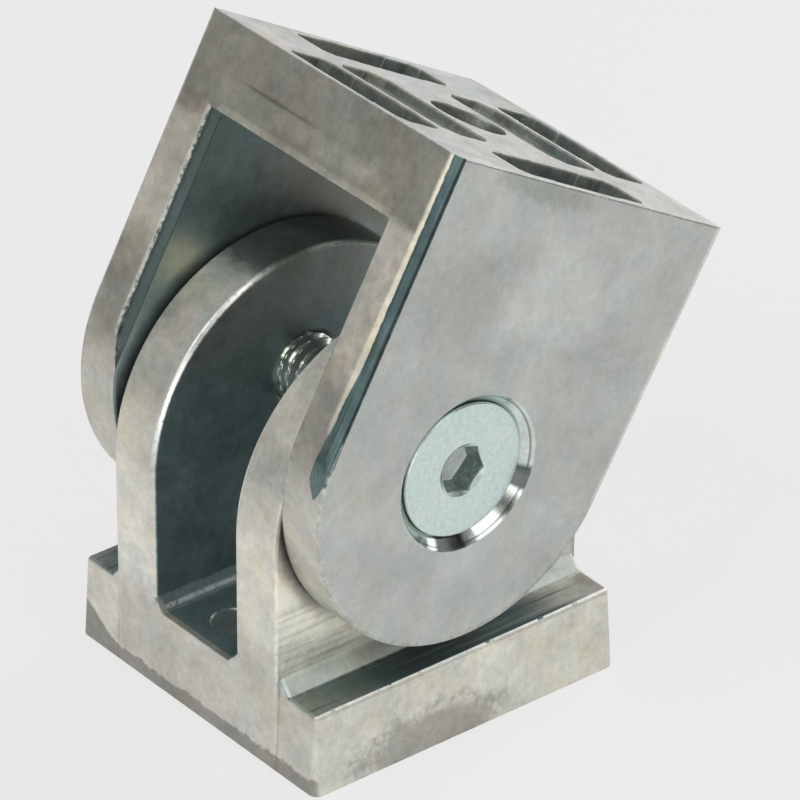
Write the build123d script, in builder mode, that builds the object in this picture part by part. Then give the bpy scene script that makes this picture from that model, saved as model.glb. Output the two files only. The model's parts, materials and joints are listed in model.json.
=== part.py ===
"""Profile pivot joint: two zinc die-cast forks that swivel on a pair of countersunk screws.

The base fork stands on its mounting face with two upright ears. The swivel fork
straddles the ears with its two arms and carries the second mounting face. Each arm is
held to its ear by one screw, with a thrust washer between arm and ear.

Frame: millimetres, +Z up, origin at the middle of the base's mounting face, pivot axis
along X. The swivel fork rests leaning towards +Y by rest_tilt.
"""
import os
from math import cos, radians, sin, tan

from build123d import *

os.makedirs("parts", exist_ok=True)

# ---- driving dimensions: the whole joint ----
section = 40.0  # side of the square profile that both mounting faces match
pivot_height = 31.4  # from either mounting face to the pivot axis
rest_tilt = 30.4  # degrees from straight, towards +Y
running_clearance = 0.1  # between the swivel fork and what it turns on

# ---- base fork ----
flange_thickness = 9.5
flange_draft = 3.0  # degrees
flange_corner_radius = 1.0
flange_edge_radius = 0.45
ear_thickness = 6.7
ear_arc_drop = 6.0  # the ears' round tops are centred this far below the pivot axis
ear_edge_chamfer = 0.35
outer_root_chamfer = 1.6  # where an ear's outer face meets the flange
inner_root_chamfer = 1.3  # where an ear's inner face meets the floor between the ears
ejector_mark_radius = 2.4
ejector_mark_depth = 0.15
ejector_mark_inset = 5.0  # from the end of the floor to the middle of the mark

# ---- swivel fork ----
web_thickness = 9.0
arm_thickness = 5.7  # at the pivot axis; the washers and ears follow inwards from here
front_draft = 1.0  # degrees, on the fork's front and back
side_draft = 0.3  # degrees, on the arms' outer faces
opening_chamfer = 1.0  # on two opposite upright edges of the opening
inner_corner_radius = 0.5
trim_across = 1.7  # trimmed scar on two opposite upright edges, measured along X
trim_deep = 0.62  # and measured along the arm's side
trim_lead = 0.9  # the part of the scar that lies nearly flat
trim_lead_angle = 5.0  # degrees

# ---- recesses in each mounting face ----
pocket_rim = 1.1  # wall between a pocket and the side of the casting
pocket_width = 6.2
pocket_length = 19.0
pocket_depth = 5.0
pocket_corner = 1.0
pocket_step_length = 10.0  # the middle of a pocket is a little wider
pocket_step = 0.25
panel_wall = 0.9  # wall between a pocket and the shallow panel beside it
panel_width = 6.9
panel_depth = 0.95
panel_corner = 1.5
profile_screw_bore = 8.5  # clearance for the M8 screw into the profile's core

# ---- pivot screws and thrust washers ----
thread_diameter = 8.0
thread_clearance = 0.05
thread_lead = 0.4  # chamfer at each mouth of the ears' tapped bores
screw_length = 14.95  # over the head
head_diameter = 15.0
head_edge = 0.4  # straight rim above the head's 90 degree cone
head_recess = 0.8  # the head lies this far below the arm's outer face
sink_overshoot = 1.0  # the countersink's cone is carried this far past the arm's outer face
point_chamfer = 0.7
socket_across_flats = 5.0
socket_depth = 3.0
socket_turn = {"right": 16.0, "left": 41.0}  # degrees, as tightened
washer_diameter = 22.0
washer_thickness = 0.5
washer_bore_clearance = 0.15

# ---- derived sizes ----
half = section / 2
arm_outer = half - pivot_height * tan(radians(side_draft))  # at the pivot axis
arm_inner = arm_outer - arm_thickness
ear_outer = arm_inner - running_clearance - washer_thickness
ear_inner = ear_outer - ear_thickness
ear_arc_height = pivot_height - ear_arc_drop
# the arm ends run tangent into the drafted front and back
arm_end_radius = half * cos(radians(front_draft)) - pivot_height * sin(radians(front_draft))
arm_tangent_drop = arm_end_radius * sin(radians(front_draft))
fork_depth = pivot_height + half
web_inner = pivot_height - web_thickness
thread_radius = thread_diameter / 2
head_radius = head_diameter / 2
head_face = arm_outer - head_recess
sink_radius = head_radius + head_edge + head_recess + running_clearance
screw_end = head_face - screw_length
screw_neck = head_face - head_edge - (head_radius - thread_radius)
tapped_radius = thread_radius + thread_clearance
pocket_outer = half - pocket_rim
pocket_middle = pocket_outer - pocket_width / 2
panel_outer = pocket_outer - pocket_width - panel_wall
panel_middle = panel_outer - panel_width / 2

# ---- planes ----
tilt = radians(rest_tilt)
pivot_point = (0, 0, pivot_height)
pivot_axis = Axis(pivot_point, (1, 0, 0))
fork_up = (0, sin(tilt), cos(tilt))  # the swivel fork's own Z
fork_across = (0, cos(tilt), -sin(tilt))  # and its own Y
fork_front = (0, -cos(tilt), sin(tilt))
fork_face = Plane(origin=pivot_point, x_dir=(1, 0, 0), z_dir=fork_up).offset(pivot_height)
fork_side = Plane(origin=pivot_point, x_dir=fork_across, z_dir=(1, 0, 0))
fork_section = Plane(origin=pivot_point, x_dir=(1, 0, 0), z_dir=fork_front)
base_face = Plane(origin=(0, 0, 0), x_dir=(1, 0, 0), z_dir=(0, 0, -1))
pivot_section = Plane(origin=pivot_point, x_dir=(1, 0, 0), z_dir=(0, -1, 0))


def across_pivot(distance, side=1):
    """Plane square to the pivot axis, facing outwards on the given side."""
    return Plane(origin=(side * distance, 0, pivot_height), x_dir=(0, side, 0), z_dir=(side, 0, 0))


def fork_outline(wide, deep):
    """Corners of the swivel fork's outline, with the scar trimmed off two opposite ones."""
    lead_across = trim_lead * cos(radians(trim_lead_angle))
    lead_deep = trim_lead * sin(radians(trim_lead_angle))
    half_outline = [
        (-wide, -deep),
        (wide - trim_across, -deep),
        (wide - trim_across + lead_across, lead_deep - deep),
        (wide, trim_deep - deep),
    ]
    return half_outline + [(-x, -y) for x, y in half_outline]


def cut_mounting_recesses(face):
    """Cut four pockets, two shallow panels and the profile screw's bore into a face."""
    with BuildSketch(face) as pockets:
        with PolarLocations(pocket_middle, 4):
            Rectangle(pocket_width, pocket_length)
        chamfer(pockets.vertices(), pocket_corner)
        with PolarLocations(pocket_middle, 4):
            Rectangle(pocket_width + 2 * pocket_step, pocket_step_length)
    extrude(pockets.sketch, amount=-pocket_depth, mode=Mode.SUBTRACT)
    with BuildSketch(face) as panels:
        with Locations((0, panel_middle), (0, -panel_middle)):
            Rectangle(pocket_length, panel_width)
        chamfer(panels.vertices(), panel_corner)
    extrude(panels.sketch, amount=-panel_depth, mode=Mode.SUBTRACT)
    with Locations(face):
        Hole(profile_screw_bore / 2)


# ---- base fork ----
with BuildPart() as ears:
    with BuildSketch(Plane.YZ):
        with Locations((0, ear_arc_height)):
            Circle(half)
            Rectangle(section, ear_arc_height, align=(Align.CENTER, Align.MAX))
    extrude(amount=ear_outer, both=True)
    with BuildSketch(Plane.XZ) as gap:
        with Locations((0, flange_thickness)):
            Rectangle(2 * ear_inner, ear_arc_height + half, align=(Align.CENTER, Align.MIN))
        chamfer(gap.vertices().group_by(Axis.Y)[0], inner_root_chamfer)
    extrude(amount=half, both=True, mode=Mode.SUBTRACT)
    outlines = ears.faces().filter_by(Axis.X).edges().filter_by_position(Axis.Z, 0.01, pivot_height + section)
    chamfer(outlines.filter_by(Axis.Y, reverse=True), ear_edge_chamfer)

with BuildPart() as base_fork:
    with BuildSketch(Plane.XY):
        RectangleRounded(section, section, flange_corner_radius)
    extrude(amount=flange_thickness + outer_root_chamfer, taper=flange_draft)
    # the flange's own height, and the chamfered root against each ear
    on_flange = (Align.CENTER, Align.MIN)
    with BuildSketch(Plane.XZ):
        Rectangle(section, flange_thickness, align=on_flange)
        with Locations((0, flange_thickness)):
            Trapezoid(2 * (ear_outer + outer_root_chamfer), outer_root_chamfer, 45, align=on_flange)
            Rectangle(2 * ear_outer - ear_thickness, section, mode=Mode.SUBTRACT, align=on_flange)
    extrude(amount=half, both=True, mode=Mode.INTERSECT)
    lands = base_fork.faces().filter_by(Axis.Z).group_by(Axis.Z)[1].sort_by(Axis.X)
    rim = lands[0].edges().sort_by(Axis.X)[:-1] + lands[-1].edges().sort_by(Axis.X)[1:]
    root_ends = base_fork.edges().filter_by_position(
        Axis.Z, flange_thickness, flange_thickness + outer_root_chamfer, (False, False)
    )
    root_ends = root_ends.group_by(Axis.X)
    fillet(rim + root_ends[0] + root_ends[-1], flange_edge_radius)
    add(ears.part)
    cut_mounting_recesses(base_face)
    # ejector marks on the floor between the ears
    with BuildSketch(Plane.XY.offset(flange_thickness)):
        with Locations((0, half - ejector_mark_inset), (0, ejector_mark_inset - half)):
            Circle(ejector_mark_radius)
    extrude(amount=-ejector_mark_depth, mode=Mode.SUBTRACT)
    # tapped bores for the pivot screws
    with Locations(across_pivot(0)):
        Hole(tapped_radius)
    bore_rings = base_fork.faces().filter_by(Axis.X).edges().filter_by(GeomType.CIRCLE)
    chamfer(bore_rings.group_by(SortBy.RADIUS)[0], thread_lead)

# ---- swivel fork ----
# wedges that chamfer two opposite upright edges of the opening, along the drafted front and back
with BuildPart() as opening_edges:
    for depth in (web_thickness, fork_depth):
        deep = half - depth * tan(radians(front_draft))
        wedge = [
            (-arm_inner - 2 * opening_chamfer, -deep - opening_chamfer),
            (-arm_inner + opening_chamfer, -deep - opening_chamfer),
            (-arm_inner + opening_chamfer, -deep + 2 * opening_chamfer),
        ]
        with BuildSketch(fork_face.offset(-depth)):
            with BuildLine():
                Polyline(*wedge, close=True)
            make_face()
    loft(ruled=True)
    add(opening_edges.part.rotate(Axis(pivot_point, fork_up), 180))

with BuildPart() as swivel_fork:
    # block with drafted sides, from the mounting face down past the arm ends
    for depth in (0, fork_depth):
        wide = half - depth * tan(radians(side_draft))
        deep = half - depth * tan(radians(front_draft))
        with BuildSketch(fork_face.offset(-depth)):
            with BuildLine():
                Polyline(*fork_outline(wide, deep), close=True)
            make_face()
    loft(ruled=True)
    # arm ends, round about the pivot axis
    with BuildSketch(fork_side):
        Circle(arm_end_radius)
        with Locations((0, -arm_tangent_drop)):
            Rectangle(section, pivot_height + arm_tangent_drop, align=(Align.CENTER, Align.MIN))
    extrude(amount=half, both=True, mode=Mode.INTERSECT)
    # opening that straddles the ears
    with BuildSketch(fork_section) as opening:
        with Locations((0, web_inner)):
            Rectangle(2 * arm_inner, web_inner + section, align=(Align.CENTER, Align.MAX))
        fillet(opening.vertices().group_by(Axis.Y)[-1], inner_corner_radius)
    extrude(amount=half, both=True, mode=Mode.SUBTRACT)
    add(opening_edges.part, mode=Mode.SUBTRACT)
    cut_mounting_recesses(fork_face)
    # countersunk bores for the pivot screws
    arm_bore = thread_radius + running_clearance
    through_arm = arm_thickness + 2 * sink_overshoot
    for side in (1, -1):
        with Locations(across_pivot(arm_outer + sink_overshoot, side)):
            CounterSinkHole(arm_bore, sink_radius + sink_overshoot, through_arm, 90)


def pivot_screw(side, turn):
    """A countersunk socket screw, driven in from the given side and turned by some degrees."""
    with BuildPart() as screw:
        with BuildSketch(pivot_section):
            with BuildLine():
                Polyline(
                    (side * screw_end, 0),
                    (side * screw_end, thread_radius - point_chamfer),
                    (side * (screw_end + point_chamfer), thread_radius),
                    (side * screw_neck, thread_radius),
                    (side * (head_face - head_edge), head_radius),
                    (side * head_face, head_radius),
                    (side * head_face, 0),
                    close=True,
                )
            make_face()
        revolve(axis=pivot_axis)
        with BuildSketch(across_pivot(head_face, side)):
            RegularPolygon(socket_across_flats / 2, 6, major_radius=False, rotation=turn)
        extrude(amount=-socket_depth, mode=Mode.SUBTRACT)
    return screw


def thrust_washer(side):
    """A flat washer against an ear's outer face, round the screw's shank."""
    with BuildPart() as washer:
        with BuildSketch(across_pivot(ear_outer, side)):
            Circle(washer_diameter / 2)
            Circle(thread_radius + washer_bore_clearance, mode=Mode.SUBTRACT)
        extrude(amount=washer_thickness)
    return washer


pivot_screw_left = pivot_screw(-1, socket_turn["left"])
pivot_screw_right = pivot_screw(1, socket_turn["right"])
thrust_washer_left = thrust_washer(-1)
thrust_washer_right = thrust_washer(1)

base_fork.part.label = "base_fork"
swivel_fork.part.label = "swivel_fork"
pivot_screw_left.part.label = "pivot_screw_left"
pivot_screw_right.part.label = "pivot_screw_right"
thrust_washer_left.part.label = "thrust_washer_left"
thrust_washer_right.part.label = "thrust_washer_right"

for piece in (
    base_fork,
    swivel_fork,
    pivot_screw_left,
    pivot_screw_right,
    thrust_washer_left,
    thrust_washer_right,
):
    export_step(piece.part, f"parts/{piece.part.label}.step")
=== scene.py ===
import json
from math import atan2, cos, pi, radians, sin, tan

import bmesh
import bpy
import numpy as np
from mathutils import Matrix, Vector


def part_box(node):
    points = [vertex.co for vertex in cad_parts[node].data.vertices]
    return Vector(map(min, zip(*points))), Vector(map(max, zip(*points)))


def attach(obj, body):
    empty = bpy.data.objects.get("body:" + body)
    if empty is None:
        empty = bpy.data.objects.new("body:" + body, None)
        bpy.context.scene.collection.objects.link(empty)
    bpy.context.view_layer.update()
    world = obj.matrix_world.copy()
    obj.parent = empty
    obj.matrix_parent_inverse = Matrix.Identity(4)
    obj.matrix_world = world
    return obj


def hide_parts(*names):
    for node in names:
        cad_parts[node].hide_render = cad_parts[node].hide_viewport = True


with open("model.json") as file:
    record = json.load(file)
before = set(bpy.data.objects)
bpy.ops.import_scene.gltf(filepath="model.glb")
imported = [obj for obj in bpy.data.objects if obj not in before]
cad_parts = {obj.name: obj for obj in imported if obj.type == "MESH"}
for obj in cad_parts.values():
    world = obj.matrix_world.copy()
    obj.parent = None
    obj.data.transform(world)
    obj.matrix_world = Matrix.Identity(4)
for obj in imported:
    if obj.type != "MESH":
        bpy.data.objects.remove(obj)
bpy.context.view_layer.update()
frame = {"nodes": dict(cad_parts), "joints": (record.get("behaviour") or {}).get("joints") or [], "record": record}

MM = 0.001


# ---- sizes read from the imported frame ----
def node_box(node):
    """Lowest and highest corner of a CAD node in millimetres."""
    low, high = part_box(node)
    return np.array(low) / MM, np.array(high) / MM


mounts = {mount["name"]: mount for mount in frame["record"]["mounts"]}
pivot = np.array(frame["joints"][0]["pos_m"]) / MM
pivot_height = pivot[2]
fork_up = mounts["swivel_face"]["axis"]
tilt = atan2(fork_up[1], fork_up[2])
screw_low, screw_high = node_box("pivot_screw_right")
washer_low, washer_high = node_box("thrust_washer_right")
base_high = node_box("base_fork")[1]
half = base_high[0]
flange_top = mounts["base_bore"]["dims"]["length_mm"]
web = mounts["swivel_bore"]["dims"]["length_mm"]
web_inner = pivot_height - web
ear_outer = washer_low[0]
ear_arc_height = base_high[2] - half
screw_end, head_face = screw_low[0], screw_high[0]
head_radius = (screw_high[2] - screw_low[2]) / 2
washer_radius = (washer_high[2] - washer_low[2]) / 2

# ---- sizes that the frame doesn't carry ----
flange_draft, side_draft, front_draft = 3.0, 0.3, 1.0  # degrees
ear_thickness = 6.7
root_chamfer = 1.6  # where an ear's outer face meets the flange
washer_play = 0.1  # between a washer and the arm beside it
washer_bore = 4.15  # radius
sink_radius = 8.8  # countersink at an arm's outer face
pocket_zone, pocket_reach = 6.25, 19.2  # how deep and how far out the finish of the pockets goes
wedge = 1.0  # chamfer on two opposite upright edges of the opening
head_edge = 0.4  # height of a screw head's rim
socket_half_flat, socket_depth = 2.5, 3.0
mouth_radius, mouth_depth = 2.98, 0.3  # cone at the socket's mouth
thread_radius, thread_pitch, thread_depth = 4.0, 1.25, 0.62

# the scar on two opposite upright edges: where its flat lead starts and its slope turns down, how
# deep it cuts, how its lead leans with height, the lowest point of the leaf that it ends in, and
# how the strip that it takes off the outer face widens upward
trim_start, trim_turn, trim_deep = 18.3, 19.2, 0.62
lead_height, lead_lean = 28.0, 0.02
leaf_low, leaf_side = -6.5, 18.7
strip_low, strip_growth, strip_width = -4.6, 0.35, 0.78

# ---- sizes that follow ----
ear_inner = ear_outer - ear_thickness
root_end, root_top = ear_outer + root_chamfer, flange_top + root_chamfer
arm_inner = washer_high[0] + washer_play
arm_end_radius = half * cos(radians(front_draft)) - pivot_height * sin(radians(front_draft))
flange_reach = half - flange_top * tan(radians(flange_draft))
side_slope, front_slope = tan(radians(side_draft)), tan(radians(front_draft))
neck = head_face - head_edge - (head_radius - thread_radius) + 0.1  # just above a cone's lower end


# ---- shader wiring ----
class Wire:
    """An output socket. Sums, differences, products and powers of wires add Math nodes, and so do
    the greater (|) and the lesser (&) of two."""

    def __init__(self, finish, socket):
        self.finish = finish
        self.socket = socket

    def maths(self, operation, first, second):
        """A Math node's result for two numbers or wires."""
        return self.finish.node("ShaderNodeMath", {"operation": operation}, {0: first, 1: second})

    def __add__(self, other):
        return self.maths("ADD", self, other)

    def __radd__(self, other):
        return self.maths("ADD", other, self)

    def __sub__(self, other):
        return self.maths("SUBTRACT", self, other)

    def __rsub__(self, other):
        return self.maths("SUBTRACT", other, self)

    def __mul__(self, other):
        return self.maths("MULTIPLY", self, other)

    def __abs__(self):
        return self.maths("ABSOLUTE", self, 0.0)

    def __pow__(self, other):
        return self.maths("POWER", self, other)

    def __or__(self, other):
        return self.maths("MAXIMUM", self, other)

    def __and__(self, other):
        return self.maths("MINIMUM", self, other)


class Finish:
    """One material while it is wired."""

    def __init__(self, name):
        self.material = bpy.data.materials.new(name)
        self.material.use_nodes = True
        self.tree = self.material.node_tree
        self.tree.nodes.clear()

    def node(self, kind, settings=None, inputs=None, output=0):
        """Add a node of a kind, apply its settings, then fill its sockets by value or wire."""
        made = self.tree.nodes.new(kind)
        for name, value in (settings or {}).items():
            setattr(made, name, value)
        for name, value in (inputs or {}).items():
            if isinstance(value, Wire):
                self.tree.links.new(value.socket, made.inputs[name])
            else:
                made.inputs[name].default_value = value
        return Wire(self, made.outputs[output]) if made.outputs else None

    def vector_maths(self, operation, inputs, output=0):
        """A Vector Math node's result."""
        return self.node("ShaderNodeVectorMath", {"operation": operation}, inputs, output)

    def place(self, origin=(0, 0, 0), lean=0.0):
        """Object coordinates in millimetres about an origin, turned back by a lean about X."""
        where = {
            "Vector": self.node("ShaderNodeTexCoord", output="Object"),
            "Location": [value * MM for value in origin],
            "Rotation": (-lean, 0, 0),
            "Scale": (MM, MM, MM),
        }
        return self.node("ShaderNodeMapping", {"vector_type": "TEXTURE"}, where)

    def parts(self, vector):
        """X, Y and Z of a vector."""
        return [self.node("ShaderNodeSeparateXYZ", None, {0: vector}, axis) for axis in range(3)]

    def noise(self, vector, size, detail, roughness, distortion=0.0, offset=(0, 0, 0), scale=(1, 1, 1)):
        """Noise around 0.5 whose blotches are about a size in millimetres, over a scaled and moved vector."""
        moved = self.node("ShaderNodeMapping", None, {"Vector": vector, "Location": offset, "Scale": scale})
        inputs = {
            "Vector": moved,
            "Scale": 1 / size,
            "Detail": detail,
            "Roughness": roughness,
            "Distortion": distortion,
        }
        return self.node("ShaderNodeTexNoise", None, inputs)

    def edge_noises(self, place):
        """The coarse and the fine noise that make the edges of zones ragged."""
        ragged = self.noise(place, 1.6, 3.0, 0.6, offset=(5, 3, 1))
        fine = self.noise(place, 0.5, 2.0, 0.6, offset=(9, 2, 7))
        return ragged, fine

    def rise(self, value, low, high):
        """0 below low, 1 above high, smooth between. High may be below low for a fall."""
        start, end, first, last = (low, high, 0.0, 1.0) if low < high else (high, low, 1.0, 0.0)
        inputs = {0: value, 1: start, 2: end, 3: first, 4: last}
        return self.node("ShaderNodeMapRange", {"interpolation_type": "SMOOTHSTEP"}, inputs)

    def span(self, value, low, high, soft=0.1):
        """1 between low and high, falling to 0 over a soft edge on either side."""
        return self.rise(value, low - soft, low + soft) * self.rise(value, high + soft, high - soft)

    def blend(self, share, first, second, mode="MIX"):
        """Colour mix: first where share is 0, second where it is 1."""
        settings = {"data_type": "RGBA", "blend_type": mode, "clamp_factor": True}
        return self.node("ShaderNodeMix", settings, {0: share, 6: first, 7: second}, output=2)

    def painted(self, colour, *layers):
        """Layers of (share, tone) over a colour, the last one on top."""
        for share, layer in layers:
            colour = self.blend(share, colour, layer)
        return colour

    def scaled(self, colour, amount):
        """A colour made darker or lighter by a wire."""
        return self.vector_maths("SCALE", {0: colour, "Scale": amount})

    def length(self, vector, weights=(1, 1, 1), centre=(0, 0, 0)):
        """Distance of a vector from a centre, each direction weighted."""
        offset = self.vector_maths("SUBTRACT", {0: vector, 1: centre})
        weighed = self.vector_maths("MULTIPLY", {0: offset, 1: weights})
        return self.vector_maths("LENGTH", {0: weighed}, output=1)

    def from_axis(self, place, height=0.0):
        """Distance from the line along X at a height."""
        return self.length(place, (0, 1, 1), (0, 0, height))

    def patch(self, vector, ragged, centre, reach, soft=0.3):
        """1 inside a ragged ellipsoid of a reach in each direction about a centre."""
        away = self.length(vector, [1 / value for value in reach], centre)
        return self.rise(away + (ragged - 0.5) * 1.6, 1 + soft, 1 - soft)

    def rounded(self, radius):
        """Normal with edges rounded by a radius in millimetres, and how near an edge is, 0 to 1."""
        normal = self.node("ShaderNodeBevel", {"samples": 4}, {"Radius": radius * MM})
        face = self.node("ShaderNodeNewGeometry", output=1)
        level = self.vector_maths("DOT_PRODUCT", {0: normal, 1: face}, output=1)
        return normal, self.rise(level, 0.985, 0.88)

    def principled(self, **inputs):
        """Close the material with a Principled shader. A name's underscores stand for spaces."""
        inputs = {name.replace("_", " "): value for name, value in inputs.items()}
        return self.surface(self.node("ShaderNodeBsdfPrincipled", None, inputs))

    def surface(self, shader):
        """End the material with a shader."""
        self.node("ShaderNodeOutputMaterial", None, {"Surface": shader})
        return self.material


def tone(red, green, blue):
    """A display colour from 0 to 255 as a scene-linear RGBA tuple."""
    shares = [value / 255 for value in (red, green, blue)]
    linear = [share / 12.92 if share <= 0.04045 else ((share + 0.055) / 1.055) ** 2.4 for share in shares]
    return (*linear, 1.0)


# ---- finishes ----
ZINC_NOISES = {
    # size, detail, roughness, distortion, offset
    "clouds": (9.0, 3.0, 0.55, 0.2, (0, 0, 0)),
    "patches": (2.6, 3.0, 0.6, 0.2, (31, 7, 13)),
    "blotches": (0.9, 3.0, 0.6, 0.3, (17, 3, 29)),
    "grain": (0.3, 2.0, 0.6, 0.0, (3, 57, 21)),
    "warmth": (6.0, 4.0, 0.6, 0.2, (71, 11, 43)),
    "blush": (2.6, 3.0, 0.6, 0.2, (5, 81, 33)),
    "specks": (0.8, 3.0, 0.6, 0.0, (13, 91, 5)),
}

# patches of wear on the swivel fork, about the pivot with Z toward its mounting face
SWIVEL_PATCHES = {
    # centre, reach in each direction, softness of the edge
    "scratch": ((-6.0, -half, 26.3), (5.6, 3.0, 0.2), 0.5),
    "scuffs": ((3.2, -half, 24.9), (8.2, 3.0, 1.0), 0.7),
    "smudge": ((-18.5, -half, 21.8), (2.6, 3.0, 1.1), 0.3),
    "shadow": ((half, -11.5, 17.5), (3.0, 6.5, 4.5), 0.6),
    "pale": ((half, 0.5, 18.5), (3.0, 6.0, 5.0), 0.6),
    "top_stain": ((half, -6.0, pivot_height - 1.0), (3.0, 6.5, 1.3), 0.5),
    "brown": ((-arm_inner, 0.5, 18.0), (2.5, 11.0, 5.0), 0.5),
    "yellowed": ((-arm_inner, -16.5, 6.4), (2.0, 3.0, 2.4), 0.7),
    "speckled": ((-arm_inner, 6.0, 21.2), (2.5, 10.0, 2.4), 0.5),
}

# dark bars across the countersinks, painted reflections: start, end and softness in degrees, 0 at +Y and 90 at +Z
DARK_REFLECTION_BARS = ((-4.0, 14.0, 2.5), (-87.0, -60.0, 3.0))


def zinc_surface(finish, place, colour, metallic, roughness, soft_edge, contrast=0.85, wear=1.0):
    """Tumbled zinc: clouds, blotches, grain and pits over a zone colour, and edges brightened by wear, partly a
    painted highlight.

    soft_edge is the radius of rounded edges, contrast the strength of the mottle and its tints, and
    wear the share of edges that may shine."""
    noises = [finish.noise(place, *recipe) for recipe in ZINC_NOISES.values()]
    clouds, patches, blotches, grain, warmth, blush, specks = noises
    pits = finish.rise(specks, 0.69, 0.80)
    mottle = (clouds - 0.5) * 0.8 + (patches - 0.5) * 0.6 + (blotches - 0.5) * 0.5 + (grain - 0.5) * 0.25
    colour = finish.scaled(colour, 1.0 + mottle * contrast)
    tints = (
        (finish.rise(warmth, 0.50, 0.68), 0.6, tone(255, 248, 232)),
        (finish.rise(warmth, 0.50, 0.32), 0.5, tone(236, 250, 253)),
        (finish.rise(blush, 0.54, 0.70), 0.55, tone(255, 242, 245)),
    )
    for where, strength, tint in tints:
        colour = finish.blend(where * contrast * strength, colour, tint, "MULTIPLY")
    normal, edge = finish.rounded(soft_edge)
    # edges brightened by wear, partly a painted highlight
    wear_and_sheen = edge * wear * finish.rise(blotches + (patches - 0.5) * 0.6, 0.42, 0.58)
    colour = finish.painted(colour, (pits * 0.4, tone(84, 84, 79)), (wear_and_sheen * 0.55, tone(246, 243, 232)))
    rough = roughness + (patches - 0.5) * 0.22 + (blotches - 0.5) * 0.12 + pits * 0.15 - wear_and_sheen * 0.10
    height = patches * 0.04 + blotches * 0.016 + grain * 0.006 - pits * 0.02
    bumped = {"Strength": 0.4, "Distance": MM, "Height": height, "Normal": normal}
    bump = finish.node("ShaderNodeBump", None, bumped)
    return finish.principled(Base_Color=colour, Metallic=metallic, Roughness=rough, Normal=bump)


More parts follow.
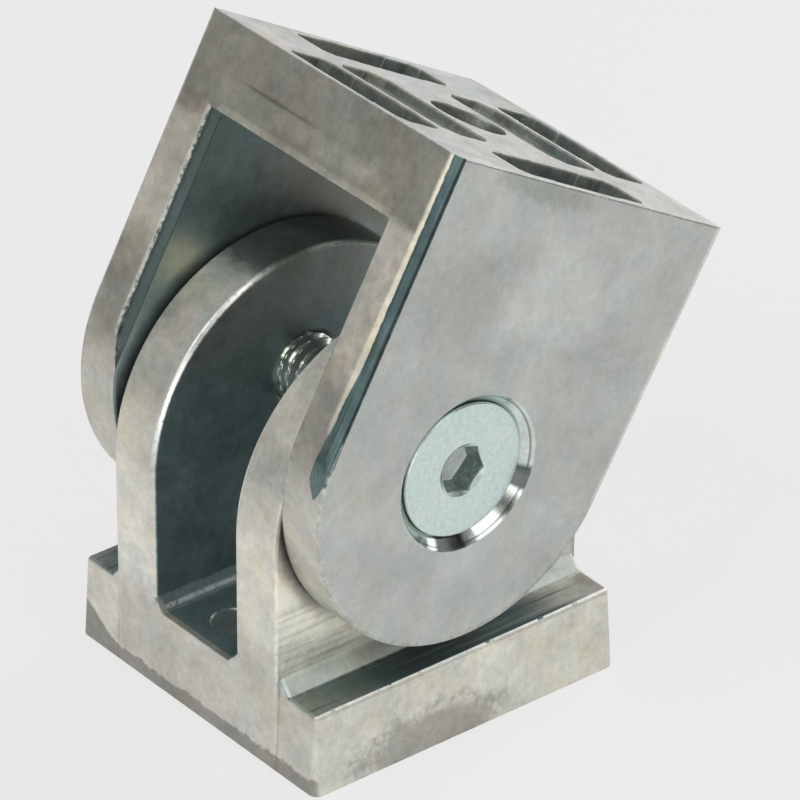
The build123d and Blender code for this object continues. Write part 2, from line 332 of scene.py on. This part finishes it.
def base_finish():
    """Base fork: pale cream outside, teal grey between the ears darkened by painted shade, brushed flange tops
    darkened by painted shade under the arms, and painted shade on the ear tops under the web.
    """
    finish = Finish("zinc_base")
    place = finish.place()
    x, y, z = finish.parts(place)
    side = abs(x)
    ragged, fine = finish.edge_noises(place)
    ribbed = finish.noise(place, 1.0, 3.0, 0.6, offset=(2, 8, 6), scale=(1.6, 0.06, 1.6))

    # surfaces
    front = finish.rise(abs(y), half - 0.9, half - 0.6)
    flange_front = finish.rise(z, flange_top + 2.0, flange_top) * front
    between = finish.rise(side, ear_inner + 0.12, ear_inner + 0.02) * (1.0 - flange_front)
    between = between * finish.rise(z, flange_top - 0.3, flange_top - 0.1)
    arc = finish.from_axis(place, ear_arc_height)
    rim = finish.rise(arc, half - 0.5, half - 0.15) * finish.rise(z, ear_arc_height, ear_arc_height + 1.0)
    sides = finish.rise(side, half - 1.0, half - 0.7) * finish.rise(z, flange_top - 0.1, flange_top - 0.6)
    top = finish.rise(side, root_end - 0.4, root_end - 0.1)
    top = top * finish.span(z, flange_top - 0.15, flange_top + 0.1, 0.06)
    root = finish.span(side, ear_outer - 0.1, root_end + 0.2, 0.2)
    root = root * finish.span(z, flange_top + 0.1, root_top + 0.1)
    ear_side = finish.span(side, ear_outer - 0.2, ear_outer + 0.3)
    ear_side = ear_side * finish.rise(z, flange_top + 1.0, flange_top + 2.0)

    # tones that change across a surface
    shell = finish.rise(z, flange_top + 1.0, flange_top + 6.0)
    shell = finish.blend(shell, tone(209, 207, 199), tone(226, 224, 214))
    left_ear = front * finish.rise(x, -4.0, -7.0) * finish.span(z, flange_top + 2.0, flange_top + 11.0, 3.0)
    left_flange = front * finish.rise(x, -12.0, -15.0) * finish.rise(z, flange_top, flange_top - 1.5)
    # the ears' insides are teal grey, darkened between the ears by painted shade
    slate_and_shade = finish.rise(z + (ragged - 0.5) * 8.0, pivot_height + 2.0, pivot_height + 9.0)
    slate_and_shade = finish.blend(slate_and_shade, tone(142, 158, 160), tone(154, 157, 151))
    cream = finish.blend(finish.rise(y, 6.0, 14.0), tone(247, 246, 232), tone(214, 213, 202))
    brushed = top * finish.rise(y + (ribbed - 0.5) * 14.0, 17.0, 8.0)
    # painted shade on the flange tops under the arms, weaker on the left
    shade_under_arms = finish.rise(y - (side - half) * 1.2 + (ribbed - 0.5) * 6.0, -17.0, -5.0)
    shade_under_arms = shade_under_arms * (0.25 + finish.rise(x, -5.0, 5.0) * 0.75)
    steel_and_shade = finish.blend(shade_under_arms, tone(162, 174, 170), tone(96, 113, 117))

    # painted shade on the ears' tops under the web, in the creases and beside the arms' ends; a darker patch low
    # on the flange's side; a painted dark reflection along the foot of the front faces; dark seam lines
    # painted shade on the ears' arc tops under the web
    ear_top_shade = rim * finish.rise(y + (ragged - 0.5) * 2.5, -7.2, -4.6) * finish.rise(y, 16.0, 9.0)
    # a darker patch low on the flange's side
    low_side_dark = sides * finish.patch(place, ragged, (half, -5.0, 1.5), (3.0, 9.0, 3.2))
    # painted dark reflection along the foot of the front faces, rising toward the left
    foot_reflection_height = 1.7 + (ragged - 0.5) * 2.0 + finish.rise(x, -half + 6.0, -half + 0.5) * 2.6
    foot_reflection = finish.rise(z - foot_reflection_height, 0.25, -0.15) * finish.rise(y, -half + 0.8, -half + 0.3)
    # painted shade in the crease where the root chamfer meets the flange top
    crease_shade = finish.span(side, root_end - 0.25, root_end, 0.08) * top
    seam = finish.span(side, ear_outer - 0.06, ear_outer + 0.1, 0.08) * front
    seam = seam * finish.rise(z, flange_top + 9.0, flange_top)
    streaks = finish.rise(ribbed, 0.46, 0.70) * finish.span(z, root_top + 0.1, flange_top + 10.0, 1.0)
    # painted shade on the ears' outer faces in the narrow gap beside the arms' round ends
    from_pivot = finish.from_axis(place, pivot_height) + (ragged - 0.5) * 0.8
    shade_beside_arm = ear_side * finish.rise(from_pivot, arm_end_radius + 1.9, arm_end_radius + 0.2)
    shade_beside_arm = shade_beside_arm * finish.rise(z, flange_top + 4.0, flange_top + 10.0) * finish.rise(y, 0.0, -6.0)

    # painted highlights along edges: the ears' inner arcs, the foot of their inner faces, and the flange's lips
    # with a painted dark line of shade under them
    crest = finish.rise(arc, half - 0.6, half - 0.4) * finish.rise(z, ear_arc_height, ear_arc_height + 6.0)
    gleam = finish.span(side, ear_inner - 0.3, ear_inner + 0.5) * crest
    gleam = gleam * finish.rise(y, -3.0, -8.0) * finish.rise(fine, 0.30, 0.46)
    edge_light = finish.span(side, ear_inner - 0.3, ear_inner + 0.22, 0.08) * crest
    edge_light = edge_light * finish.rise(fine, 0.25, 0.55)
    # painted highlight along the fillet at the foot of the ears' inner faces
    foot_highlight = between * finish.span(z, flange_top + 0.25, flange_top + 0.6, 0.12) * finish.rise(fine, 0.28, 0.50)
    # painted highlight on the flange's rounded lip edges, whiter and less metallic
    lip_highlight = finish.rise(side, flange_reach - 0.28, flange_reach - 0.18)
    lip_highlight = lip_highlight * finish.span(z, flange_top - 0.20, flange_top + 0.2)
    # painted dark line of shade under the lip highlight
    shade_under_lip = sides * finish.span(z, flange_top - 0.50, flange_top - 0.34, 0.10)
    shade_under_lip = shade_under_lip * finish.rise(fine, 0.30, 0.60)

    colour = finish.painted(
        shell,
        (rim * finish.rise(x, 12.0, -12.0) * 0.7, tone(214, 212, 203)),
        (left_ear, tone(234, 232, 223)),
        (left_flange, tone(224, 223, 214)),
        (sides, tone(217, 216, 205)),
        (low_side_dark * 0.8, tone(160, 158, 152)),
        (between, slate_and_shade),
        (foot_highlight * 0.9, tone(240, 248, 246)),
        (ear_top_shade * 0.9, tone(116, 124, 120)),
        (brushed, steel_and_shade),
        (brushed * finish.rise(ribbed, 0.52, 0.70) * 0.5, tone(150, 164, 164)),
        (brushed * finish.rise(ribbed, 0.48, 0.30) * 0.6, tone(66, 80, 84)),
        (crease_shade * 0.6, tone(84, 94, 92)),
        (root, tone(208, 216, 211)),
        (ear_side, cream),
        (streaks * ear_side * 0.5, tone(186, 181, 160)),
        (shade_beside_arm * 0.75, tone(104, 103, 98)),
        (foot_reflection * 0.85, tone(146, 143, 137)),
        (seam * 0.35, tone(92, 90, 84)),
        (shade_under_lip * 0.45, tone(110, 108, 98)),
        (edge_light * 0.5, tone(222, 222, 214)),
        (gleam * 0.9, tone(255, 254, 248)),
        (lip_highlight * finish.rise(ragged, 0.34, 0.42), tone(255, 255, 250)),
    )
    metallic = 0.85 - lip_highlight * 0.65
    roughness = 0.44 - gleam * 0.1 - lip_highlight * 0.15
    return zinc_surface(finish, place, colour, metallic, roughness, 0.25 + lip_highlight * 0.25)


def swivel_finish():
    """Swivel fork: cool grey outer faces, warm fronts, olive web, near-white mounting face, teal grey inside
    darkened by painted shade.

    Two opposite upright edges carry a trimmed scar, with a golden painted highlight along its lead and a painted
    dark teal reflection on its slope.
    The other two carry a pale painted highlight, and the countersinks are turned bright. Places are about the
    pivot, with
    Z toward the mounting face; wide and deep are the places with the block's drafts taken out."""
    finish = Finish("zinc_swivel")
    place = finish.place(pivot, tilt)
    x, y, z = finish.parts(place)
    side, depth = abs(x), pivot_height - z
    wide, deep = side + depth * side_slope, abs(y) + depth * front_slope
    radial = finish.from_axis(place)
    ragged, fine = finish.edge_noises(place)
    spot = {name: finish.patch(place, ragged, *where) for name, where in SWIVEL_PATCHES.items()}
    # two opposite upright edges are where X and Y have one sign, and the other two where they differ
    alike, unlike = finish.rise(x * y, 0.0, 1.0), finish.rise(x * y, 0.0, -1.0)

    # surfaces
    lower = finish.rise(z, 0.5, -0.5)
    front = finish.rise(deep, half - 0.5, half - 0.3) * (1.0 - lower)
    rim = finish.rise(radial, arm_end_radius - 0.5, arm_end_radius - 0.2) * lower
    shaft = (front + rim) & 1.0
    outer = finish.rise(wide, half - 0.25, half - 0.1)
    seat = finish.span(z, pivot_height - 0.08, pivot_height + 1.0, 0.04)
    recess = finish.rise(depth, 0.15, 0.35) * finish.rise(depth, pocket_zone + 0.25, pocket_zone - 0.25)
    for across in (side, abs(y)):
        recess = recess * finish.rise(across, pocket_reach + 0.1, pocket_reach - 0.1)
    # the inside faces are teal grey, painted darker as shade
    inside = finish.rise(side, arm_inner + 0.12, arm_inner + 0.03)
    inside = inside * finish.rise(z, web_inner + 0.1, web_inner + 0.02)

    # front: olive web, bright upper arms, painted shade where the arms turn round
    # painted shade on the arms' fronts and round ends where they turn round
    turn_shade = finish.span(z + (ragged - 0.5) * 3.0, -5.0, 6.0, 3.0)
    beside = finish.rise(z, web_inner + 1.2, web_inner + 0.4)
    olive = finish.rise(z + (ragged - 0.5) * 2.0, web_inner - 0.6, web_inner + 0.8)
    lip = finish.span(z, web_inner, web_inner + 0.8, 0.15) * finish.rise(side, arm_inner, arm_inner - 0.5)

    # outer faces: painted shade at mid height, a dark line along the top, a pale painted highlight along two
    # upright edges
    mid_shade = finish.span(z, -2.0, 8.0, 3.0)
    top_line = finish.rise(z, pivot_height - 0.30, pivot_height - 0.16) * finish.rise(fine, 0.30, 0.50)
    # pale painted highlight along two upright edges of the outer faces
    back_edge_highlight = outer * finish.rise(deep, half - 0.5, half - 0.2) * alike

    # chamfered edges of the opening, painted dark as shade, with a painted highlight on the bright burr along
    # their front
    # the facets are painted dark as shade, with a darker line of painted shade along their outer part
    facet = finish.rise((side - arm_inner) + (half - deep), wedge + 0.14, wedge + 0.05) * alike
    facet = facet * finish.rise(z, web_inner + 0.1, web_inner)
    facet = facet * finish.rise(side, arm_inner - 0.1, arm_inner + 0.02)
    facet_shade_line = facet * finish.rise(side - arm_inner + (fine - 0.5) * 0.4, wedge * 0.55, wedge * 0.75)
    burr_start = arm_inner + wedge
    burr_highlight = finish.span(side + (fine - 0.5) * 0.25, burr_start - 0.05, burr_start + 0.38, 0.15) * alike
    burr_highlight = burr_highlight * finish.rise(z, web_inner + 0.2, web_inner) * finish.rise(deep, half - 0.3, half - 0.15)
    burr_highlight = burr_highlight * finish.rise(fine, 0.25, 0.55)

    # the trimmed scar: its slope, painted as a dark teal reflection, ends below in the tip of a leaf, and the
    # golden painted highlight on its lead fades
    slope_face = deep + (wide - trim_turn) * (trim_deep / (half - trim_turn))
    turn = trim_turn - 0.35 + (ragged - 0.5) * 0.25 + (fine - 0.5) * 0.2
    turn = turn - finish.rise(z, 9.0, 3.0) * 0.4 - finish.rise(z, 2.5, -4.0) * 0.7
    tip = z - leaf_low - abs(side - leaf_side) ** 1.2 * 1.6
    slope = finish.rise(slope_face | deep, half - 0.18, half - 0.10) * finish.rise(z, -4.0, -3.0)
    strip = ((z - strip_low) * strip_growth) & strip_width
    below = outer * lower * finish.rise(radial + strip, arm_end_radius - 0.06, arm_end_radius + 0.06)
    # the slope's teal is a painted dark reflection, with a darker painted line along its outer edge
    blued_reflection = unlike * (slope | rim | below) * finish.rise(wide - turn, -0.06, 0.06)
    blued_reflection = blued_reflection * finish.rise(tip + (fine - 0.5) * 0.2, -0.12, 0.12)
    start = (z - lead_height) * lead_lean + trim_start + 0.08
    lead = unlike * finish.rise(wide - start + (fine - 0.5) * 0.25, -0.3, 0.25) * front * (1.0 - blued_reflection)
    fading = finish.rise(z + (ragged - 0.5) * 4.0, -1.0, 3.5) * 0.6 + finish.rise(z, 7.0, 15.0) * 0.4
    # golden painted highlight along the lead
    gold_highlight = lead * fading
    streaky = finish.noise(place, 1.0, 2.0, 0.6, offset=(1, 4, 9), scale=(5.0, 5.0, 0.12))

    # countersinks: turned bright, with two painted dark reflections across them and a dark line near the mouth
    sink = finish.rise(radial, sink_radius + 0.06, sink_radius - 0.02)
    sink = sink * finish.rise(side, arm_inner, arm_inner + 0.5)
    around = z.maths("ARCTAN2", z, y) * (180 / pi)
    first_bar, second_bar = [finish.span(around, *bar) for bar in DARK_REFLECTION_BARS]
    line = finish.span(radial, sink_radius - 0.42, sink_radius - 0.26, 0.05) * sink

    colour = finish.painted(
        tone(206, 203, 194),
        (front * beside, tone(222, 217, 205)),
        (shaft * turn_shade, tone(182, 180, 171)),
        (front * olive, tone(171, 170, 160)),
        (front * lip * 0.6, tone(204, 200, 186)),
        (front * spot["smudge"] * 0.5, tone(130, 128, 120)),
        (front * spot["scratch"] * 0.6, tone(112, 111, 104)),
        (front * spot["scuffs"] * 0.4, tone(214, 212, 200)),
        (outer, tone(193, 196, 192)),
        (outer * spot["shadow"] * 0.6, tone(176, 177, 173)),
        (outer * spot["pale"] * 0.6, tone(212, 216, 212)),
        (outer * spot["top_stain"] * 0.45, tone(146, 146, 138)),
        (outer * top_line * 0.6, tone(92, 92, 84)),
        (outer * mid_shade * 0.6, tone(185, 188, 184)),
        (back_edge_highlight * 0.6, tone(236, 238, 232)),
        (inside, tone(142, 158, 158)),
        (inside * spot["brown"] * 0.8, tone(128, 124, 116)),
        (inside * spot["yellowed"] * 0.7, tone(190, 190, 164)),
        (inside * spot["speckled"] * finish.rise(fine, 0.46, 0.58) * 0.5, tone(196, 200, 190)),
        (recess, tone(154, 161, 156)),
        (recess * finish.rise(ragged, 0.44, 0.60) * 0.4, tone(112, 119, 115)),
        (recess * finish.rise(fine, 0.56, 0.66) * 0.3, tone(208, 213, 207)),
        (seat, tone(214, 215, 212)),
        (facet, tone(74, 86, 85)),
        (facet_shade_line * 0.8, tone(54, 64, 62)),
        (burr_highlight * 0.9, tone(246, 248, 240)),
        (gold_highlight, tone(255, 250, 226)),
        (blued_reflection, tone(104, 128, 129)),
        (blued_reflection * finish.rise(streaky, 0.50, 0.66), tone(124, 150, 150)),
        (blued_reflection * finish.rise(wide, half - 0.30, half - 0.12) * (1.0 - lower * 0.6), tone(58, 68, 71)),
        (sink, tone(206, 214, 210)),
        (sink * (first_bar | second_bar) * 0.9, tone(16, 19, 18)),
        (line * 0.6, tone(64, 70, 68)),
    )
    metallic = 0.85 + sink * 0.15 - gold_highlight * 0.75
    roughness = 0.44 - sink * 0.25 - blued_reflection * 0.10 + seat * 0.12
    round_end = outer * finish.rise(radial, arm_end_radius - 1.2, arm_end_radius - 0.4) * lower
    soft_edge = (0.22 + rim * 0.9 + round_end * 0.9 + lead * 0.7) * (1.0 - blued_reflection * 0.7)
    wear = 1.0 - finish.rise(side, arm_inner + 0.3, arm_inner + 0.2) * alike
    return zinc_surface(finish, place, colour, metallic, roughness, soft_edge, 0.85 - outer * 0.25, wear)


def plated_finish():
    """Zinc-plated steel: bright, pale cyan-white and faintly speckled, smoother on the threads, with
    a dark socket whose bottom is pale."""
    finish = Finish("plated_screw")
    place = finish.place(pivot)
    along = abs(finish.parts(place)[0])
    radial = finish.from_axis(place)
    clouds = finish.noise(place, 3.0, 3.0, 0.6)
    speckle = finish.noise(place, 0.55, 3.0, 0.6, offset=(9, 4, 2))
    pits = finish.rise(finish.noise(place, 0.5, 1.0, 0.5, offset=(4, 6, 8)), 0.72, 0.78)
    thread = finish.rise(along, neck - 0.4, neck - 0.8)
    socket = finish.rise(radial, mouth_radius + 0.12, mouth_radius - 0.08) * (1.0 - thread)
    socket = socket * finish.rise(along, head_face - mouth_depth, head_face - mouth_depth - 0.12)
    bottom = socket * finish.rise(along, head_face - socket_depth + 0.3, head_face - socket_depth)
    plating = finish.blend(finish.rise(clouds, 0.35, 0.7), tone(208, 225, 221), tone(216, 228, 222))
    colour = finish.painted(
        plating,
        (pits * 0.5, tone(120, 134, 130)),
        (socket, tone(120, 136, 129)),
        (socket * finish.rise(speckle, 0.5, 0.62) * 0.6, tone(160, 178, 170)),
        (bottom, tone(250, 255, 252)),
        (thread, tone(206, 212, 204)),
    )
    colour = finish.scaled(colour, 1.0 + (speckle - 0.5) * 0.5)
    rough = 0.30 + (clouds - 0.5) * 0.15 + (speckle - 0.5) * 0.15 - thread * 0.12
    bump = finish.node("ShaderNodeBump", None, {"Strength": 0.2, "Distance": MM, "Height": speckle * 0.01})
    return finish.principled(Base_Color=colour, Metallic=0.92 - socket * 0.6, Roughness=rough, Normal=bump)


def washer_finish():
    """Plain steel, a little dull."""
    finish = Finish("washer_steel")
    clouds = finish.noise(finish.place(pivot), 2.0, 3.0, 0.6)
    colour = finish.blend(clouds, tone(120, 120, 118), tone(150, 150, 146))
    return finish.principled(Base_Color=colour, Metallic=0.9, Roughness=0.35 + (clouds - 0.5) * 0.2)


# ---- mesh building ----
def link(thing):
    """Put an object in the scene."""
    bpy.context.scene.collection.objects.link(thing)


def add_piece(name, mesh, finish, body, slot, *nodes):
    """Link a piece whose place is in its mesh, attach it to its body, and hide the CAD nodes that it stands for.
    """
    piece = bpy.data.objects.new(name, mesh)
    link(piece)
    mesh.materials.append(finish)
    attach(piece, body)
    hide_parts(*nodes)
    return piece


def merge_corners(mesh, source, distance, face_out=False):
    """Fill a mesh from a source mesh with its doubled corners merged, and faces outward if asked."""
    work = bmesh.new()
    work.from_mesh(source)
    bmesh.ops.remove_doubles(work, verts=work.verts, dist=distance)
    if face_out:
        bmesh.ops.recalc_face_normals(work, faces=work.faces)
    work.to_mesh(mesh)
    work.free()


def smooth_below(mesh, degrees):
    """Shade a mesh smooth, but keep the edges that turn by more than an angle sharp."""
    mesh.polygons.foreach_set("use_smooth", [True] * len(mesh.polygons))
    mesh.set_sharp_from_angle(angle=radians(degrees))


def casting_mesh(name, node):
    """A casting's CAD surface with its doubled corners merged."""
    mesh = bpy.data.meshes.new(name)
    merge_corners(mesh, frame["nodes"][node].data, 2e-6)
    smooth_below(mesh, 25)
    return mesh


def soften(piece, width):
    """Round a casting's sharp edges by a bevel of a width in millimetres."""
    bevel = piece.modifiers.new("cast_edges", "BEVEL")
    bevel.width = width * MM
    bevel.segments = 3
    bevel.limit_method = "ANGLE"
    bevel.angle_limit = radians(28)
    bevel.harden_normals = False
    bevel.use_clamp_overlap = True
    weighted = piece.modifiers.new("flat_faces", "WEIGHTED_NORMAL")
    weighted.mode = "FACE_AREA"
    weighted.weight = 50


def grid_faces(rows, columns):
    """Quads of a grid that closes on itself across its columns, as an array of corner numbers."""
    row = np.arange(rows - 1)[:, None] * columns
    column = np.arange(columns)[None, :]
    following = (column + 1) % columns
    corners = [row + column, row + following, row + columns + following, row + columns + column]
    return np.stack(corners, -1).reshape(-1, 4)


def turned_mesh(name, stations, angles, side, capped=True):
    """Surface of stations carried round the pivot axis: point = (along, radius cos angle, radius sin angle).

    A station is a place along the axis and a radius, one for all angles or one for each. Side 1 or -1
    says which way the axis runs. A capped surface ends in a pole at each end, and any other closes
    its last station on its first."""
    even = np.ones_like(angles)
    along = np.array([place * even for place, radius in stations]) * side
    radius = np.array([radius * even for place, radius in stations])
    rows, columns = radius.shape
    points = np.stack([along, radius * np.cos(angles), radius * np.sin(angles)], -1)
    points[..., 2] += pivot_height
    corners = points.reshape(-1, 3)
    if capped:
        poles = np.array([[along[0].mean(), 0, pivot_height], [along[-1].mean(), 0, pivot_height]])
        corners = np.vstack([corners, poles])
        ring = np.arange(columns)
        following = (ring + 1) % columns
        last = (rows - 1) * columns
        first_fan = np.stack([np.full(columns, rows * columns), following, ring], -1)
        last_fan = np.stack([np.full(columns, rows * columns + 1), last + ring, last + following], -1)
        polygons = grid_faces(rows, columns).tolist() + first_fan.tolist() + last_fan.tolist()
    else:
        polygons = (grid_faces(rows + 1, columns) % (rows * columns)).tolist()
    mesh = bpy.data.meshes.new(name)
    mesh.from_pydata((corners * MM).tolist(), [], polygons)
    merge_corners(mesh, mesh, 1e-8, face_out=True)
    smooth_below(mesh, 32)
    return mesh


def screw_mesh(name, side, turn):
    """Countersunk screw: hex socket with a coned mouth, flat head, cone, and a coiled V thread.

    The socket's radius is that of a hexagon, half its width across flats / cos(angle from the
    nearest flat's middle). The thread's radius falls from its crest by a triangle wave of
    place / pitch - angle / full turn."""
    steps = np.arange(180)
    degrees = steps * 2
    angles = degrees * pi / 180 + radians(turn)
    hexagon = socket_half_flat / np.cos(np.radians(np.abs(degrees % 60 - 30)))
    stations = [
        # the socket: drilled bottom, walls and coned mouth
        (head_face - socket_depth - 0.45, 0.25),
        (head_face - socket_depth - 0.05, 0.90 * hexagon),
        (head_face - socket_depth, hexagon),
        (head_face - (mouth_radius - hexagon) * 0.6 - 0.02, hexagon),
        (head_face - 0.02, mouth_radius),
        # the head: face, rolled rim, straight edge and cone
        (head_face, mouth_radius + 0.03),
        (head_face, 5.2),
        (head_face, head_radius - 0.16),
        (head_face - 0.02, head_radius - 0.09),
        (head_face - 0.07, head_radius - 0.03),
        (head_face - 0.15, head_radius),
        (head_face - head_edge, head_radius),
        (head_face - head_edge - 0.04, head_radius - 0.02),
        (neck, thread_radius + 0.08),
    ]
    turns = steps / 180 + turn / 360
    for place in np.arange(neck - 0.15, screw_end + 0.02, -thread_pitch / 20):
        wave = np.abs((side * place / thread_pitch - turns) % 1.0 - 0.5) * 2
        groove = thread_depth * np.clip((wave - 0.15) / 0.7, 0, 1) * np.clip((neck - place) / 1.5, 0, 1)
        point = thread_radius - 0.85 + place - screw_end
        stations.append((place, np.minimum(thread_radius - 0.02 - groove, point)))
    # the screw's flat end
    stations += [(screw_end, thread_radius - 0.95), (screw_end, 1.0)]
    return turned_mesh(name, stations, angles, side)


def washer_mesh(name, side):
    """Flat ring with small rolled edges: a rounded rectangle carried round the axis."""
    corners = [(0.12, 0.0), (0.035, 0.035), (0.0, 0.12)]
    inner, outer = washer_bore, washer_radius
    low, high = washer_low[0], washer_high[0]
    section = [(low + up, inner + out) for out, up in corners]
    section += [(high - out, inner + up) for out, up in corners]
    section += [(high - up, outer - out) for out, up in corners]
    section += [(low + out, outer - up) for out, up in corners]
    return turned_mesh(name, section, np.arange(144) * 2 * pi / 144, side, capped=False)


# ---- the joint's pieces ----
castings = (
    # piece, CAD node, body, width of softened edges, finish
    ("base_casting", "base_fork", "base", 0.12, base_finish()),
    ("swivel_casting", "swivel_fork", "swivel", 0.10, swivel_finish()),
)
for name, node, body, edge, finish in castings:
    soften(add_piece(name, casting_mesh(name, node), finish, body, "zinc_casting", node), edge)

plated, washer_steel = plated_finish(), washer_finish()
for hand, side, turn in (("right", 1, 46.0), ("left", -1, 49.0)):
    screw, washer = f"screw_{hand}", f"washer_{hand}"
    add_piece(screw, screw_mesh(screw, side, turn), plated, "base", "plated_steel", f"pivot_screw_{hand}")
    add_piece(washer, washer_mesh(washer, side), washer_steel, "base", "plain_steel", f"thrust_washer_{hand}")


# ---- studio ----
def stand(thing, target, azimuth, elevation, distance, roll=0.0):
    """Put a camera or lamp at a distance from a target in millimetres, looking at it.

    Azimuth 0 stands at -Y and 90 at +X."""
    around, up, turn = radians(azimuth), radians(elevation), radians(roll)
    back = np.array([sin(around) * cos(up), -cos(around) * cos(up), sin(up)])
    right = np.array([cos(around), sin(around), 0])
    above = np.cross(back, right)
    axes = [right * cos(turn) + above * sin(turn), above * cos(turn) - right * sin(turn), back]
    matrix = Matrix([[*row] for row in np.stack(axes, 1)]).to_4x4()
    matrix.translation = Vector((np.array(target) + back * distance) * MM)
    thing.matrix_world = matrix
    link(thing)


camera = bpy.data.objects.new("camera", bpy.data.cameras.new("camera"))
camera.data.sensor_width, camera.data.lens = 36.0, 316.75
camera.data.clip_start, camera.data.clip_end = 0.05, 20.0
stand(camera, (8.7636, 0, 34.8246), azimuth=51.149, elevation=31.436, distance=718.625, roll=0.2142)
bpy.context.scene.camera = camera

lamp_target, lamp_distance = (0, 0, 30), 600.0
softboxes = (
    # name, azimuth, elevation, width and height, power
    ("front_high", 5, 50, 350, 1.27),
    ("camera_low", 50, 3, 350, 0.98),
    ("left_front", -40, 30, 350, 0.16),
    ("right_low", 95, 12, 350, 0.17),
    ("right_high", 95, 45, 350, 0.75),
    ("left_high", -90, 60, 350, 0.23),
    ("behind", 180, 30, 560, 2.28),
)
for name, azimuth, elevation, size, power in softboxes:
    lamp = bpy.data.lights.new(name, "AREA")
    lamp.shape = "RECTANGLE"
    lamp.size = lamp.size_y = size * MM
    lamp.energy = power
    stand(bpy.data.objects.new(name, lamp), lamp_target, azimuth, elevation, lamp_distance)

# the floor glows in what a camera or a mirror sees of it, and is plain paper to every other ray
floor_reach = 3.0  # metres
glow_strength, glow_share = 1.07, 0.8
floor_mesh = bpy.data.meshes.new("floor")
floor_corners = [(floor_reach * x, floor_reach * y, 0) for x, y in ((-1, -1), (1, -1), (1, 1), (-1, 1))]
floor_mesh.from_pydata(floor_corners, [], [(0, 1, 2, 3)])
floor = bpy.data.objects.new("floor", floor_mesh)
link(floor)
paper = Finish("floor_paper")
rays = ("Is Camera Ray", "Is Glossy Ray", "Is Transmission Ray")
camera_seen, glossy_seen, through_seen = [paper.node("ShaderNodeLightPath", output=ray) for ray in rays]
seen = camera_seen + glossy_seen + through_seen
lit = paper.node("ShaderNodeBsdfDiffuse", None, {"Color": tone(225, 225, 225)})
glow = paper.node("ShaderNodeEmission", None, {"Color": tone(234, 234, 234), "Strength": glow_strength})
mixed = paper.node("ShaderNodeMixShader", None, {0: seen * glow_share, 1: lit, 2: glow})
floor_mesh.materials.append(paper.surface(mixed))

world_strength = 0.117
world = bpy.data.worlds.new("studio")
world.use_nodes = True
background = world.node_tree.nodes["Background"].inputs
background["Color"].default_value = (1, 1, 1, 1)
background["Strength"].default_value = world_strength
bpy.context.scene.world = world
bpy.context.scene.view_settings.view_transform = "Standard"
